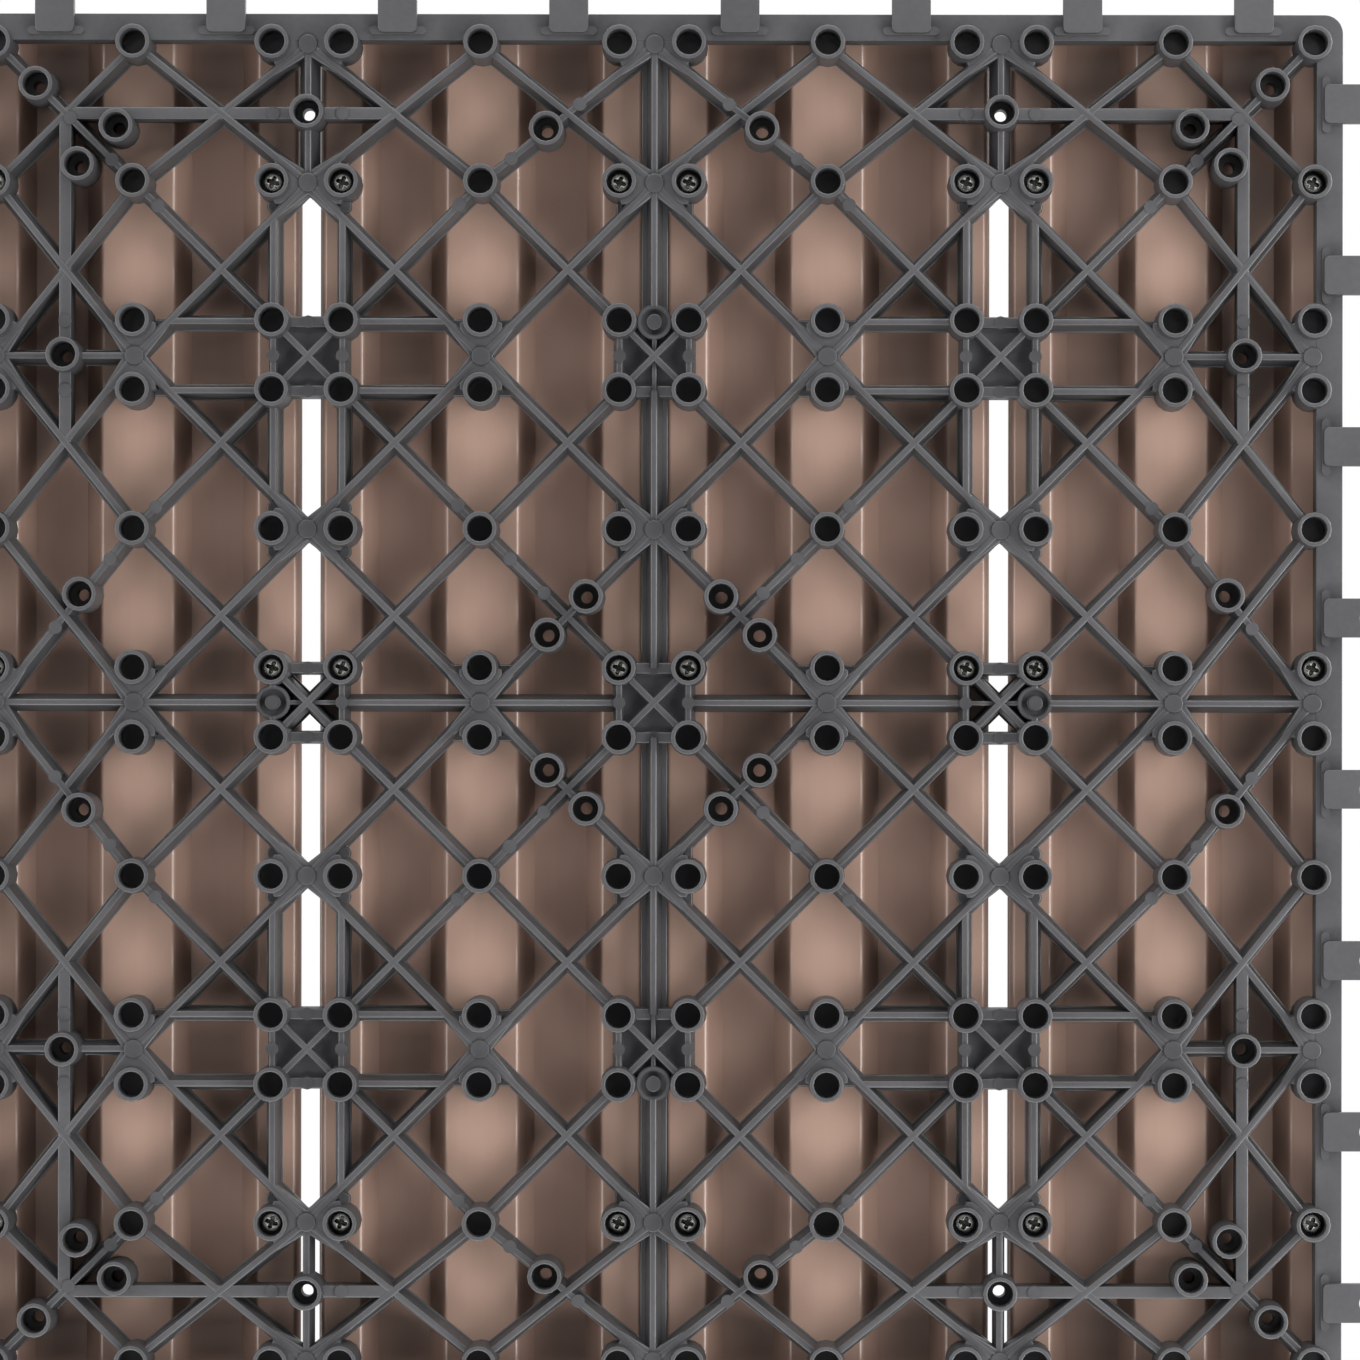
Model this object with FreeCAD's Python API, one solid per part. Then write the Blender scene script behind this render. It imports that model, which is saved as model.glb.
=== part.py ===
import FreeCAD, Part
import math
import os

from FreeCAD import Vector

# Interlocking deck tile: a moulded support grid on hollow feet, four slats and their screws.
# Millimetres. The ground is z = 0, the slats are on top and run along Y.
# Loops stand out at -Y and +X, and the pegs for the next tile's loops are at +Y and -X.
# All is drawn about the middle of the square tile, and moved at the end so that the origin
# is the middle of the whole outline on the ground, loops included.

# Overall sizes
cell = 75.0
slat_count = 4
tile_gap = 2.0
foot_height = 5.0
rib_height = 8.0

# Slats, with the two grooves moulded along the hidden side of each
slat_thickness = 7.0
slat_gap = 4.3
slat_end_margin = 0.6
middle_ridge_width = 15.5
edge_ridge_width = 8.1
groove_wall_run = 3.6
groove_depth = 4.4
groove_bow = 0.6
slat_edge_round = 1.5
slat_chamfer_width = 1.05
slat_chamfer_height = 1.5

# Feet: hollow bosses, those that take a screw with a pilot hole in the floor
foot_radius = 3.75
bore_radius = 2.85
bore_depth = 8.0
pilot_radius = 1.4
pair_offset = 7.5
edge_foot_inset = 6.5
foot_sides = 6

# Steps from a rib crossing to the feet that stand beside it
crossing_foot_step = 4.15
rim_foot_step = 4.55
corner_foot_step = 5.9
side_foot_back = 11.4
side_foot_drop = 3.1

# Ribs: width at the free edge and width at the slats
rib_edge = 1.5
rib_base = 2.7
spine_base = 3.8
strap_width = 2.7
web_width = 2.4
web_drop = 2.0
node_plate_width = 4.4
floor_plate = 1.2
strip_width = 6.0
low_rib_width = 1.1
low_rib_drop = 2.5

# Gate wells, round cups where the plastic was fed in, with the stub left in the middle
gate_radius = 3.9
gate_wall = 1.1
gate_lip_drop = 0.8
gate_depth = 3.0
gate_sides = 8
stub_radius = 1.7
stub_height = 2.2
stub_sides = 6

# Edge band
band_width = 5.7
corner_radius = 4.0

# Loops and pegs that join one tile to the next
link_count = 8
link_end_inset = 19.5
link_sides = 8
loop_width = 8.4
loop_thickness = 3.0
loop_overlap = 4.3
loop_hole_radius = 2.2
loop_hole_reach = 5.75
loop_end_sides = 4
link_clearance = 0.3
root_bar_length = 12.2
root_bar_width = 1.8
root_bar_height = 1.2
root_bar_inset = 3.7

# Screws
head_radius = 2.3
head_top_radius = 1.6
head_height = 2.0
shank_radius = 1.15
screw_bite = 4.0
screw_sides = 6

# Places worked out from the sizes above
half_cell = cell / 2
quarter_cell = cell / 4
half_tile = slat_count * half_cell - tile_gap / 2
seat_z = foot_height + rib_height
top_z = seat_z + slat_thickness
floor_z = seat_z - floor_plate
rim = half_tile - edge_foot_inset
outer_middle = (slat_count - 1) * half_cell
outer_corner = outer_middle - half_cell
outer_crossing = (outer_middle + rim) / 2
link_pitch = 2 * (half_tile - link_end_inset) / (link_count - 1)
loop_top = foot_height - link_clearance
loop_bottom = loop_top - loop_thickness
loop_reach = loop_hole_reach + loop_width / 2
peg_inset = loop_hole_reach - tile_gap
peg_radius = loop_hole_radius - link_clearance
to_origin = Vector(-loop_reach / 2, loop_reach / 2, 0)


def columns():
    """Rib nodes across the tile: place, offsets of the feet that stand there, and kind."""
    found = []
    for step in range(-slat_count, slat_count + 1):
        if abs(step) == slat_count:
            found.append((math.copysign(rim, step), [0.0], "rim"))
        elif (step + slat_count) % 2:
            found.append((step * half_cell, [0.0], "middle"))
        else:
            found.append((step * half_cell, [-pair_offset, pair_offset], "corner"))
    return found


def fourfold(x, y):
    """The places that mirror one place about both axes."""
    return [(sign_x * x, sign_y * y) for sign_x in (-1, 1) for sign_y in (-1, 1)]


def eightfold(x, y):
    """The places that mirror one place about both axes and the diagonals."""
    return sorted(set(fourfold(x, y) + fourfold(y, x)))


def face(points):
    return Part.Face(Part.makePolygon(points + points[:1]))


def polygon(x, y, radius, sides, z):
    """Corners of a regular polygon that lies half inside and half outside this radius."""
    corner = radius * (1 + 1 / math.cos(math.pi / sides)) / 2
    points = []
    for index in range(sides):
        turn = math.pi * (2 * index + 1) / sides
        points.append(Vector(x + corner * math.cos(turn), y + corner * math.sin(turn), z))
    return points


def column(x, y, radius, sides, z_low, z_high):
    """A straight post with flat sides."""
    return face(polygon(x, y, radius, sides, z_low)).extrude(Vector(0, 0, z_high - z_low))


def block(x_low, x_high, y_low, y_high, z_low, z_high):
    return Part.makeBox(x_high - x_low, y_high - y_low, z_high - z_low, Vector(x_low, y_low, z_low))


def rib(x1, y1, x2, y2, edge, base):
    """A drafted rib between two places: narrow at its free edge, wide where it meets the slats."""
    start = Vector(x1, y1, 0)
    run = Vector(x2, y2, 0) - start
    side = Vector(-run.y, run.x, 0).normalize()
    low = Vector(0, 0, foot_height)
    high = Vector(0, 0, seat_z)
    section = [
        start + side * (edge / 2) + low,
        start - side * (edge / 2) + low,
        start - side * (base / 2) + high,
        start + side * (base / 2) + high,
    ]
    return face(section).extrude(run)


def inner_diagonals():
    """Long diagonal runs through the nodes inside the rim, in both directions."""
    inner = [place for place, offsets, kind in columns()][1:-1]
    count = len(inner)
    ribs = []
    for shift in range(2 - count, count - 1):
        first = max(0, -shift)
        last = min(count, count - shift) - 1
        for sign in (-1, 1):
            start_y = sign * inner[first + shift]
            end_y = sign * inner[last + shift]
            ribs.append(rib(inner[first], start_y, inner[last], end_y, rib_edge, rib_base))
    return ribs


def rim_diagonals():
    """Short diagonals in the narrower squares between the outer nodes and the rim."""
    places = [place for place, offsets, kind in columns()]
    ribs = []
    for sign in (-1, 1):
        near = sign * outer_middle
        far = sign * rim
        for index in range(len(places) - 1):
            low, high = places[index], places[index + 1]
            ribs.append(rib(low, near, high, far, rib_edge, rib_base))
            ribs.append(rib(low, far, high, near, rib_edge, rib_base))
            if 0 < index < len(places) - 2:
                ribs.append(rib(near, low, far, high, rib_edge, rib_base))
                ribs.append(rib(far, low, near, high, rib_edge, rib_base))
    return ribs


def spines():
    """The ribs through the middle, low and thin in the outer foot groups and left out of the
    middle one, the strip along one of them, and the short rim ribs."""
    ribs = [block(-strip_width / 2, strip_width / 2, -rim, rim, floor_z, seat_z)]
    group_near = outer_corner - pair_offset
    well_near = outer_corner + pair_offset - gate_radius + gate_wall / 2
    well_far = outer_corner + pair_offset + gate_radius - gate_wall / 2
    half = low_rib_width / 2
    low_z = foot_height + low_rib_drop
    for sign in (-1, 1):
        for near, far in ((pair_offset, group_near), (well_far, rim)):
            ribs.append(rib(0, sign * near, 0, sign * far, rib_edge, spine_base))
            ribs.append(rib(sign * near, 0, sign * far, 0, rib_edge, spine_base))
        low, high = sorted((sign * group_near, sign * well_near))
        ribs.append(block(-half, half, low, high, low_z, seat_z))
        ribs.append(block(low, high, -half, half, low_z, seat_z))
    for across, side in fourfold(outer_corner, 1):
        near = side * outer_middle
        far = side * rim
        ribs.append(rib(across, near, across, far, rib_edge, spine_base))
        ribs.append(rib(near, across, far, across, rib_edge, rib_base))
    return ribs


def straps():
    """Straight-sided ties between the rib crossings next to the rim."""
    start = outer_corner - quarter_cell
    ties = []
    for end, line in fourfold(outer_crossing, outer_crossing):
        begin = math.copysign(start, end)
        ties.append(rib(begin, line, end, line, strap_width, strap_width))
        ties.append(rib(line, begin, line, end, strap_width, strap_width))
    return ties


def guard_ribs():
    """Pairs of ribs that run out from the four outer foot groups along X and Y."""
    near = pair_offset
    far = half_cell - pair_offset
    ribs = []
    for x, y in fourfold(outer_corner, outer_corner):
        for side in (-pair_offset, pair_offset):
            for way in (-1, 1):
                ends = (way * near, way * far)
                ribs.append(rib(x + ends[0], y + side, x + ends[1], y + side, rib_edge, rib_base))
                ribs.append(rib(x + side, y + ends[0], x + side, y + ends[1], rib_edge, rib_base))
    return ribs


def group_webs(x, y):
    """Webs and floor of a group of four feet. The floors beside the middle group stay open."""
    left, right = x - pair_offset, x + pair_offset
    low, high = y - pair_offset, y + pair_offset
    half = web_width / 2
    web_z = foot_height + web_drop
    webs = []
    for side in (left, right):
        webs.append(block(side - half, side + half, low, high, foot_height, seat_z))
    for side in (low, high):
        webs.append(block(left, right, side - half, side + half, web_z, seat_z))
    if x == 0 or y != 0:
        webs.append(block(left, right, low, high, floor_z, seat_z))
    return webs


def foot_webs():
    """Webs in each group of four feet, and a plate between the two feet of each pair."""
    half = node_plate_width / 2
    webs = []
    for x, x_offsets, x_kind in columns():
        for y, y_offsets, y_kind in columns():
            if x_kind == "corner" and y_kind == "corner":
                webs += group_webs(x, y)
            elif x_kind == "corner":
                webs.append(block(x - pair_offset, x + pair_offset, y - half, y + half, foot_height, seat_z))
            elif y_kind == "corner":
                webs.append(block(x - half, x + half, y - pair_offset, y + pair_offset, foot_height, seat_z))
    return webs


def main_feet():
    """Every place where a foot stands at a rib node."""
    places = []
    for x, x_offsets, x_kind in columns():
        for y, y_offsets, y_kind in columns():
            places += [(x + dx, y + dy) for dx in x_offsets for dy in y_offsets]
    return places


def extra_feet():
    """Feet between the nodes: by the inner crossings, on the rim diagonals and at the corners."""
    rim_slope = (rim - outer_middle) / half_cell
    rim_x = quarter_cell + rim_foot_step
    rim_y = outer_middle + (half_cell - rim_x) * rim_slope
    corner = outer_crossing + corner_foot_step
    return (
        eightfold(quarter_cell - crossing_foot_step, quarter_cell + crossing_foot_step)
        + eightfold(rim_x, rim_y)
        + eightfold(outer_corner, outer_crossing)
        + eightfold(outer_crossing - side_foot_back, outer_crossing - side_foot_drop)
        + fourfold(corner, corner)
    )


def screw_places():
    """Screws stand in three rows, in the feet under both edge ridges of every slat."""
    rows = (-outer_middle, -pair_offset, outer_middle)
    places = []
    for x, offsets, kind in columns():
        if kind != "middle":
            places += [(x + dx, row) for dx in offsets for row in rows]
    return places


def edge_band():
    """The band round the tile, with rounded outer corners."""
    outer = block(-half_tile, half_tile, -half_tile, half_tile, foot_height, seat_z)
    corners = [edge for edge in outer.Edges if edge.BoundBox.ZLength > rib_height / 2]
    inside = half_tile - band_width
    hollow = block(-inside, inside, -inside, inside, foot_height, seat_z)
    return outer.makeFillet(corner_radius, corners).cut(hollow)


def gate_wells():
    """Round cups at the outer side of the four groups beside the middle one."""
    reach = outer_corner + pair_offset
    lip_z = foot_height + gate_lip_drop
    well_floor = lip_z + gate_depth
    cups = []
    hollows = []
    stubs = []
    for x, y in ((reach, 0), (-reach, 0), (0, reach), (0, -reach)):
        cups.append(column(x, y, gate_radius, gate_sides, lip_z, seat_z))
        hollows.append(column(x, y, gate_radius - gate_wall, gate_sides, foot_height, well_floor))
        stubs.append(column(x, y, stub_radius, stub_sides, well_floor - stub_height, seat_z))
    return cups, hollows, stubs


def front_loop():
    """One loop at the middle of the -Y side: a flat eye on a root under the band, and its bar."""
    half = loop_width / 2
    edge_y = -half_tile
    root_y = edge_y + loop_overlap
    outline = [Vector(half, root_y, loop_bottom)]
    for step in range(loop_end_sides + 1):
        turn = math.pi * step / loop_end_sides
        eye_x = half * math.cos(turn)
        eye_y = edge_y - loop_hole_reach - half * math.sin(turn)
        outline.append(Vector(eye_x, eye_y, loop_bottom))
    outline.append(Vector(-half, root_y, loop_bottom))
    eye = face(outline).extrude(Vector(0, 0, loop_thickness))
    root = block(-half, half, edge_y, root_y, loop_bottom, foot_height)
    bar_x = root_bar_length / 2
    bar_low = edge_y + root_bar_inset - root_bar_width / 2
    bar_z = foot_height - root_bar_height
    bar = block(-bar_x, bar_x, bar_low, bar_low + root_bar_width, bar_z, foot_height)
    return eye.multiFuse([root, bar])


def link_post(x, y, radius, z_low, z_high, at_end):
    """A peg or the core of a loop's hole: round at the ends of a row, flat-sided between them."""
    if at_end:
        return Part.makeCylinder(radius, z_high - z_low, Vector(x, y, z_low))
    return column(x, y, radius, link_sides, z_low, z_high)


def links():
    """Loops on two sides, the cores of their holes, and pegs on the other two sides."""
    front = front_loop()
    right = front.rotated(Vector(0, 0, 0), Vector(0, 0, 1), 90)
    hole_place = half_tile + loop_hole_reach
    peg_place = half_tile - peg_inset
    loops = []
    holes = []
    pegs = []
    for index in range(link_count):
        at_end = index in (0, link_count - 1)
        along = (index - (link_count - 1) / 2) * link_pitch
        loops.append(front.translated(Vector(along, 0, 0)))
        loops.append(right.translated(Vector(0, along, 0)))
        for x, y in ((along, -hole_place), (hole_place, along)):
            holes.append(link_post(x, y, loop_hole_radius, loop_bottom, loop_top, at_end))
        for x, y in ((along, peg_place), (-peg_place, along)):
            pegs.append(link_post(x, y, peg_radius, loop_bottom, foot_height, at_end))
    return loops, holes, pegs


def support_grid():
    """The whole moulding: ribs, webs, band, feet, gate wells, loops and pegs in one solid."""
    feet = main_feet() + extra_feet()
    cups, hollows, stubs = gate_wells()
    loops, holes, pegs = links()
    ribs = inner_diagonals() + rim_diagonals() + spines() + straps() + guard_ribs() + foot_webs()
    posts = [column(x, y, foot_radius, foot_sides, 0, seat_z) for x, y in feet]
    bores = [column(x, y, bore_radius, foot_sides, 0, bore_depth) for x, y in feet]
    pilots = [column(x, y, pilot_radius, foot_sides, bore_depth, seat_z) for x, y in screw_places()]
    grid = edge_band().multiFuse(ribs)
    grid = grid.multiFuse(posts + cups)
    grid = grid.cut(Part.makeCompound(hollows))
    grid = grid.multiFuse(stubs + loops + pegs).removeSplitter()
    return grid.cut(Part.makeCompound(bores + pilots + holes))


def slat_section(middle):
    """Closed outline of a slat: rounded top edges, chamfers, three ridges and two grooves below."""
    half = (cell - slat_gap) / 2
    groove_z = seat_z + groove_depth
    bow_z = groove_z - groove_bow
    inner = middle_ridge_width / 2
    bottom_half = half - slat_chamfer_width
    outer = bottom_half - edge_ridge_width
    inner_foot = inner + groove_wall_run
    outer_foot = outer - groove_wall_run
    round_in = slat_edge_round * (1 - math.sqrt(0.5))

    def at(x, z):
        return Vector(middle + x, 0, z)

    def line(a, b):
        return Part.LineSegment(a, b).toShape()

    def arc(a, b, c):
        return Part.Arc(a, b, c).toShape()

    edges = [
        line(at(-inner, seat_z), at(inner, seat_z)),
        line(at(slat_edge_round - half, top_z), at(half - slat_edge_round, top_z)),
    ]
    for side in (-1, 1):
        shoulder = at(side * (half - slat_edge_round), top_z)
        corner = at(side * (half - round_in), top_z - round_in)
        flank = at(side * half, top_z - slat_edge_round)
        lip = at(side * half, seat_z + slat_chamfer_height)
        bottom = at(side * bottom_half, seat_z)
        ridge = at(side * outer, seat_z)
        wall_foot = at(side * outer_foot, bow_z)
        groove_middle = at(side * (inner_foot + outer_foot) / 2, groove_z)
        middle_foot = at(side * inner_foot, bow_z)
        edges.append(arc(shoulder, corner, flank))
        edges.append(line(flank, lip))
        edges.append(line(lip, bottom))
        edges.append(line(bottom, ridge))
        edges.append(line(ridge, wall_foot))
        edges.append(arc(wall_foot, groove_middle, middle_foot))
        edges.append(line(middle_foot, at(side * inner, seat_z)))
    return Part.Face(Part.Wire(Part.__sortEdges__(edges)))


def slat(index):
    """One slat with six blind holes for its screws."""
    middle = (index - (slat_count - 1) / 2) * cell
    half_length = half_tile - slat_end_margin
    body = slat_section(middle).extrude(Vector(0, 2 * half_length, 0))
    body.translate(Vector(0, -half_length, 0))
    bites = []
    for x, y in screw_places():
        if abs(x - middle) < half_cell:
            bites.append(column(x, y, shank_radius, screw_sides, seat_z, seat_z + screw_bite))
    return body.cut(Part.makeCompound(bites))


def screw(x, y):
    """A pan-head screw in a foot: its head on the floor of the bore, its end in the slat."""
    low = polygon(x, y, head_top_radius, screw_sides, bore_depth - head_height)
    high = polygon(x, y, head_radius, screw_sides, bore_depth)
    sides = []
    for index in range(screw_sides):
        after = (index + 1) % screw_sides
        sides.append(face([low[index], low[after], high[after], high[index]]))
    head = Part.Solid(Part.Shell([face(low), face(high)] + sides))
    shank = column(x, y, shank_radius, screw_sides, bore_depth, seat_z + screw_bite)
    return head.fuse(shank)


def export(name, shape):
    shape.translated(to_origin).exportStep("parts/" + name + ".step")
    print(name, len(shape.Solids), "solids", round(shape.Volume), "mm3", shape.isValid())


os.makedirs("parts", exist_ok=True)
export("support_grid", support_grid())
slat_names = ["left_outer_slat", "left_inner_slat", "right_inner_slat", "right_outer_slat"]
for index, name in enumerate(slat_names):
    export(name, slat(index))
export("slat_screws", Part.makeCompound([screw(x, y) for x, y in screw_places()]))
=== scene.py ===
import math
import bmesh
import bpy
from mathutils import Matrix, Vector


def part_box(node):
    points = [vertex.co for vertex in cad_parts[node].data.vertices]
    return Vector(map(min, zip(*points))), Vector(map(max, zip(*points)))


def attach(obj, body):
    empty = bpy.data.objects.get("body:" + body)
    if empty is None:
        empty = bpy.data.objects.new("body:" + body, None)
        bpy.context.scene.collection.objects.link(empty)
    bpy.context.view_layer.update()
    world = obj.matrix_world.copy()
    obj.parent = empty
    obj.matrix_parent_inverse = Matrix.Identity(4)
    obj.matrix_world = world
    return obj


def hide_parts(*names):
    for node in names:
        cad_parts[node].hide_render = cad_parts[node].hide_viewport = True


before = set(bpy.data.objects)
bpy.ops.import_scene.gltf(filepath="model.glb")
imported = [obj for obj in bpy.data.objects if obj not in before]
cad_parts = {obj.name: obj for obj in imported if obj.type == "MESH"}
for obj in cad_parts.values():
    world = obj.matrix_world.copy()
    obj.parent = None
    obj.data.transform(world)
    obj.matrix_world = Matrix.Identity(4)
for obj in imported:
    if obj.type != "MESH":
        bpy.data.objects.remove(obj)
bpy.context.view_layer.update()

# Feet: hollow bosses of the moulded grid that the tile stands on, a little wider at the slats than at
# the mouth. Those between the rib nodes and those that take a screw have a hole right through.
mm = 0.001
left_low, left_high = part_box("left_outer_slat")
right_low, right_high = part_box("right_outer_slat")
grid_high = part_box("support_grid")[1]
middle = (left_low + right_high) / 2
slat_count = 4
cell = (right_low.x - left_low.x) / (slat_count - 1)
half_cell = cell / 2
quarter_cell = cell / 4
half_tile = grid_high.y - middle.y
seat_z = left_low.z
rim_inset = 6.5 * mm
rim = half_tile - rim_inset
outer_middle = (slat_count - 1) * half_cell
outer_corner = outer_middle - half_cell
outer_crossing = (outer_middle + rim) / 2
pair_offset = 7.5 * mm
foot_radius = 3.75 * mm
foot_base_radius = 4.0 * mm
foot_sides = 16
bore_radius = 2.8 * mm
bore_depth = 8 * mm
pilot_radius = 1.4 * mm
mouth_round = 0.25 * mm
rim_foot_step = 4.55 * mm
corner_foot_step = 5.9 * mm
crossing_foot_step = 4.15 * mm
side_foot_back = 11.4 * mm
side_foot_drop = 3.1 * mm
crease_angle = math.radians(40)
# A face or an edge counts as lying along an axis from this share of its direction on.
lined_up = 0.9
# Parts that cross differ in height by this step, so that no two faces lie in one plane.
level_step = 0.025 * mm


def deselect():
    bpy.ops.object.select_all(action="DESELECT")


def activate(piece):
    deselect()
    bpy.context.view_layer.objects.active = piece
    piece.select_set(True)


def edit(piece):
    """Opens a piece in edit mode with nothing selected."""
    activate(piece)
    bpy.ops.object.mode_set(mode="EDIT")
    bpy.ops.mesh.select_all(action="DESELECT")


def pick(piece, kind, test):
    """In edit mode, selects the faces or edges whose middle and direction pass the test."""
    bpy.ops.mesh.select_mode(type="FACE" if kind == "faces" else "EDGE")
    bpy.ops.mesh.select_all(action="DESELECT")
    mesh = bmesh.from_edit_mesh(piece.data)
    for item in getattr(mesh, kind):
        if kind == "faces":
            chosen = test(item.calc_center_median(), item.normal)
        else:
            ends = [vertex.co for vertex in item.verts]
            chosen = test((ends[0] + ends[1]) / 2, (ends[1] - ends[0]).normalized())
        if chosen:
            item.select_set(True)
    mesh.select_flush_mode()
    bmesh.update_edit_mesh(piece.data)


def downward(place, normal):
    return normal.z < -lined_up


def upward(place, normal):
    return normal.z > lined_up


def close_edit():
    bpy.ops.object.mode_set(mode="OBJECT")


def settle(piece, name):
    """Names an object and applies its place, so that it stands at the origin."""
    piece.name = name
    activate(piece)
    bpy.ops.object.transform_apply(location=True, rotation=True, scale=True)
    return piece


def block(name, low, high):
    """A box between two corners."""
    low = Vector(low)
    high = Vector(high)
    bpy.ops.mesh.primitive_cube_add(size=1, location=(low + high) / 2, scale=high - low)
    return settle(bpy.context.active_object, name)


def post(name, radius, low, high, sides):
    """An upright cylinder about the Z axis, between two heights."""
    bpy.ops.mesh.primitive_cylinder_add(
        vertices=sides, radius=radius, depth=high - low, location=(0, 0, (low + high) / 2)
    )
    return settle(bpy.context.active_object, name)


def crisp(piece):
    """Shades a piece smooth round its small edges, and keeps its flat faces flat."""
    activate(piece)
    bpy.ops.object.shade_smooth_by_angle(angle=crease_angle)
    modifier = piece.modifiers.new("normals", "WEIGHTED_NORMAL")
    modifier.keep_sharp = True
    bpy.ops.object.modifier_apply(modifier=modifier.name)


def join(name, parts):
    """Joins objects into one piece at the origin."""
    deselect()
    for part in parts:
        part.select_set(True)
    bpy.context.view_layer.objects.active = parts[0]
    bpy.ops.object.transform_apply(location=True, rotation=True, scale=True)
    bpy.ops.object.join()
    piece = bpy.context.active_object
    piece.name = name
    crisp(piece)
    return piece


def copies(pattern, places):
    """One copy of a pattern, with its own mesh, for each matrix in the list."""
    made = []
    for place in places:
        copy = pattern.copy()
        copy.data = pattern.data.copy()
        copy.matrix_world = place
        bpy.context.collection.objects.link(copy)
        made.append(copy)
    return made


def discard(*patterns):
    for pattern in patterns:
        bpy.data.objects.remove(pattern)


def cut(piece, tool):
    """Takes one object out of another."""
    activate(piece)
    modifier = piece.modifiers.new("cut", "BOOLEAN")
    modifier.operation = "DIFFERENCE"
    modifier.solver = "MANIFOLD"
    modifier.object = tool
    bpy.ops.object.modifier_apply(modifier=modifier.name)


def soften(piece, width, segments=2):
    """Rounds the sharp edges of a piece."""
    activate(piece)
    modifier = piece.modifiers.new("edges", "BEVEL")
    modifier.width = width
    modifier.segments = segments
    modifier.limit_method = "ANGLE"
    modifier.angle_limit = crease_angle
    bpy.ops.object.modifier_apply(modifier=modifier.name)


def at(x, y, z=0.0, turn=0.0):
    """A place given from the middle of the tile, with a turn about Z in degrees."""
    return Matrix.Translation((middle.x + x, middle.y + y, z)) @ Matrix.Rotation(math.radians(turn), 4, "Z")


def fourfold(x, y):
    """The places that mirror one place about both axes of the tile."""
    return [(sign_x * x, sign_y * y) for sign_x in (-1, 1) for sign_y in (-1, 1)]


def eightfold(x, y):
    """The places that mirror one place about both axes and both diagonals of the tile."""
    return sorted(set(fourfold(x, y) + fourfold(y, x)))


def columns():
    """Rib nodes across the tile, each with the offsets of its feet and its kind."""
    found = []
    for step in range(-slat_count, slat_count + 1):
        if abs(step) == slat_count:
            found.append((math.copysign(rim, step), [0], "rim"))
        elif (step + slat_count) % 2:
            found.append((step * half_cell, [0], "middle"))
        else:
            found.append((step * half_cell, [-pair_offset, pair_offset], "corner"))
    return found


def stepped_post(name, radius, low, high, small_radius=0, small_high=0):
    """A cylinder with a thinner one on top of it, or none where no second height is given."""
    piece = post(name, radius, low, high, foot_sides)
    if small_high:
        edit(piece)
        pick(piece, "faces", upward)
        bpy.ops.mesh.inset(thickness=radius - small_radius)
        bpy.ops.mesh.extrude_region_move(TRANSFORM_OT_translate={"value": (0, 0, small_high - high)})
        close_edit()
    return piece


def foot(name, pilot):
    """One foot about the Z axis, its mouth on the ground, with or without a pilot hole."""
    piece = post(name, foot_base_radius, 0, seat_z - 3 * level_step, foot_sides)
    edit(piece)
    pick(piece, "faces", downward)
    shrink = foot_radius / foot_base_radius
    bpy.ops.transform.resize(value=(shrink, shrink, 1))
    bpy.ops.mesh.inset(thickness=foot_radius - bore_radius)
    bpy.ops.mesh.extrude_region_move(TRANSFORM_OT_translate={"value": (0, 0, bore_depth)})
    if pilot:
        bpy.ops.mesh.inset(thickness=bore_radius - pilot_radius)
        pick(piece, "faces", upward)
        bpy.ops.mesh.inset(thickness=foot_base_radius - pilot_radius)
        pick(
            piece, "faces", lambda place, normal: abs(normal.z) > lined_up and place.xy.length < mouth_round
        )
        bpy.ops.mesh.bridge_edge_loops()
    pick(
        piece,
        "edges",
        lambda place, way: place.z < mouth_round / 2
        and abs(way.cross(place).z) > lined_up * place.length,
    )
    bpy.ops.mesh.bevel(offset=mouth_round, segments=2)
    close_edit()
    return piece


screw_rows = (-outer_middle, -pair_offset, outer_middle)
screw_places = [
    (x + offset, row)
    for x, offsets, kind in columns()
    if kind != "middle"
    for offset in offsets
    for row in screw_rows
]
rim_slope = (rim - outer_middle) / half_cell
rim_foot_x = quarter_cell + rim_foot_step
corner_foot = outer_crossing + corner_foot_step
extra_feet = (
    eightfold(quarter_cell - crossing_foot_step, quarter_cell + crossing_foot_step)
    + eightfold(rim_foot_x, outer_middle + (half_cell - rim_foot_x) * rim_slope)
    + eightfold(outer_corner, outer_crossing)
    + eightfold(outer_crossing - side_foot_back, outer_crossing - side_foot_drop)
    + fourfold(corner_foot, corner_foot)
)
open_feet = [at(x, y) for x, y in extra_feet + screw_places]
closed_feet = []
for x, x_offsets, x_kind in columns():
    for y, y_offsets, y_kind in columns():
        for foot_x in [x + offset for offset in x_offsets]:
            for foot_y in [y + offset for offset in y_offsets]:
                if not any(math.hypot(foot_x - a, foot_y - b) < mm for a, b in screw_places):
                    closed_feet.append(at(foot_x, foot_y))
closed_pattern = foot("closed_pattern", False)
open_pattern = foot("open_pattern", True)
feet = join("feet", copies(closed_pattern, closed_feet) + copies(open_pattern, open_feet))
discard(closed_pattern, open_pattern)

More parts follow.
